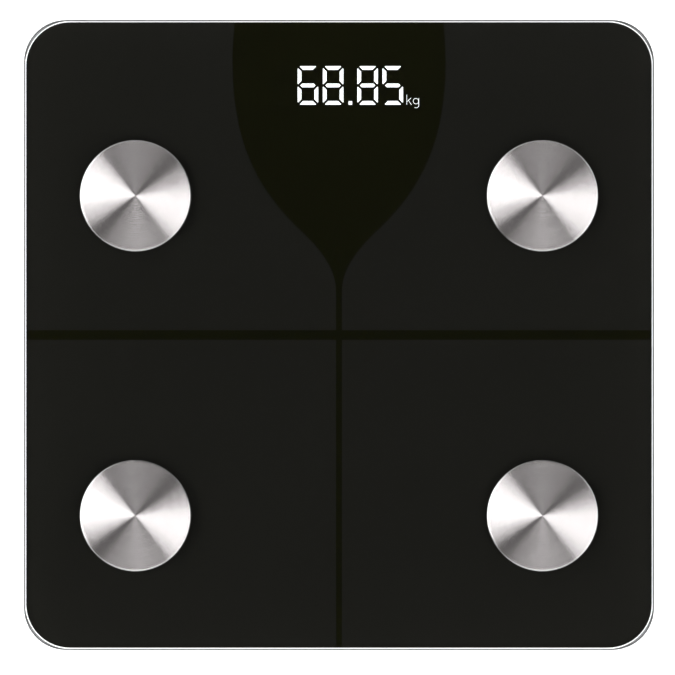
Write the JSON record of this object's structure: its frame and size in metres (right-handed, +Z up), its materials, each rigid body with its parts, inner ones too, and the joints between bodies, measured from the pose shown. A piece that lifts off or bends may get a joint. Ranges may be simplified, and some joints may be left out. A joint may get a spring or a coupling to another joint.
{
  "type": "digital bathroom scale",
  "caption": "Square glass bathroom scale with four round steel electrodes, a lit numeric display, sprung load-cell feet and a battery door underneath.",
  "frame": {"origin": "on the floor, under the middle of the platform", "axes": "+Z up, +Y towards the display, where the user's toes point, +X to the user's right"},
  "size_m": [0.3, 0.3, 0.0263],
  "materials": {
    "toughened_glass": "clear, polished edges",
    "quadrant_ink": "black screen print behind glass",
    "panel_ink": "deep black screen print behind glass",
    "light_guide_lit": "clear resin, lit white",
    "light_guide_dark": "clear resin, unlit",
    "display_housing": "moulded black",
    "electrode_steel": "stainless, spun rings, polished bevel",
    "adhesive": "acrylic adhesive",
    "foam": "black PE foam tape",
    "nylon": "natural nylon",
    "plated_steel": "zinc or nickel plated",
    "casing": "fine moulded grain, black ABS",
    "screw_steel": "black zinc plated",
    "foot_plastic": "moulded ABS",
    "foot_rubber": "moulded rubber",
    "cell_steel": "nickel plated alloy steel",
    "silicone": "white silicone sealant",
    "retainer_plastic": "moulded natural ABS",
    "circuit_board": "green solder mask",
    "chip_epoxy": "moulded epoxy",
    "ceramic": "sintered ceramic",
    "connector_nylon": "natural nylon",
    "switch_plastic": "moulded black",
    "battery_jacket": "printed sleeve",
    "lead_red": "PVC insulation",
    "lead_black": "PVC insulation",
    "lead_white": "PVC insulation",
    "button_plastic": "moulded grey ABS"
  },
  "bodies": {
    "scale_body": {"batteries": "battery_jacket", "battery_contacts": "plated_steel", "battery_leads": "lead_red", "battery_springs": "plated_steel", "board_capacitors": "ceramic", "board_screws": "screw_steel", "bonding_tape": "foam", "bottom_cover": "casing", "cell_retainers": "retainer_plastic", "controller_chips": "chip_epoxy", "cover_screws": "screw_steel", "crystal": "plated_steel", "display_housing": "display_housing", "display_mask": "panel_ink", "display_pins": "plated_steel", "electrode_back_left": "electrode_steel", "electrode_back_right": "electrode_steel", "electrode_bushes": "nylon", "electrode_front_left": "electrode_steel", "electrode_front_right": "electrode_steel", "electrode_leads": "lead_black", "electrode_nuts": "plated_steel", "electrode_pads": "adhesive", "electrode_terminals": "plated_steel", "electrode_washers": "plated_steel", "glass_platform": "toughened_glass", "lead_connectors": "connector_nylon", "lit_segments": "light_guide_lit", "load_cell_back_left": "cell_steel", "load_cell_back_right": "cell_steel", "load_cell_front_left": "cell_steel", "load_cell_front_right": "cell_steel", "load_cell_leads": "lead_white", "main_board": "circuit_board", "panel_print": "panel_ink", "quadrant_print": "quadrant_ink", "retainer_screws": "screw_steel", "strain_gauges": "silicone", "unit_legend": "light_guide_lit", "unit_switch": "switch_plastic", "unlit_segments": "light_guide_dark", "upper_frame": "casing"},
    "foot_back_left": {"foot_cap_back_left": "foot_plastic", "foot_pad_back_left": "foot_rubber"},
    "foot_back_right": {"foot_cap_back_right": "foot_plastic", "foot_pad_back_right": "foot_rubber"},
    "foot_front_left": {"foot_cap_front_left": "foot_plastic", "foot_pad_front_left": "foot_rubber"},
    "foot_front_right": {"foot_cap_front_right": "foot_plastic", "foot_pad_front_right": "foot_rubber"},
    "unit_button": {"unit_button": "button_plastic", "switch_plunger": "switch_plastic"},
    "battery_door": {"battery_door": "casing", "door_latch": "casing"}
  },
  "joints": [
    {"name": "foot_press_back_left", "type": "slide", "parent": "scale_body", "child": "foot_back_left", "axis": [0, 0, 1], "range_m": [0, 0.0005], "stiffness_N_per_m": 1000, "springref_m": -0.0055, "deforming": ["load_cell_back_left"]},
    {"name": "foot_press_back_right", "type": "slide", "parent": "scale_body", "child": "foot_back_right", "axis": [0, 0, 1], "range_m": [0, 0.0005], "stiffness_N_per_m": 1000, "springref_m": -0.0055, "deforming": ["load_cell_back_right"]},
    {"name": "foot_press_front_left", "type": "slide", "parent": "scale_body", "child": "foot_front_left", "axis": [0, 0, 1], "range_m": [0, 0.0005], "stiffness_N_per_m": 1000, "springref_m": -0.0055, "deforming": ["load_cell_front_left"]},
    {"name": "foot_press_front_right", "type": "slide", "parent": "scale_body", "child": "foot_front_right", "axis": [0, 0, 1], "range_m": [0, 0.0005], "stiffness_N_per_m": 1000, "springref_m": -0.0055, "deforming": ["load_cell_front_right"]},
    {"name": "unit_button_press", "type": "slide", "parent": "scale_body", "child": "unit_button", "axis": [0, 0, 1], "range_m": [0, 0.0005], "stiffness_N_per_m": 3200},
    {"name": "battery_door_hinge", "type": "hinge", "parent": "scale_body", "child": "battery_door", "pos_m": [0, -0.01585, 0.004], "axis": [-1, 0, 0], "range_deg": [0, 60], "deforming": ["door_latch"]}
  ]
}
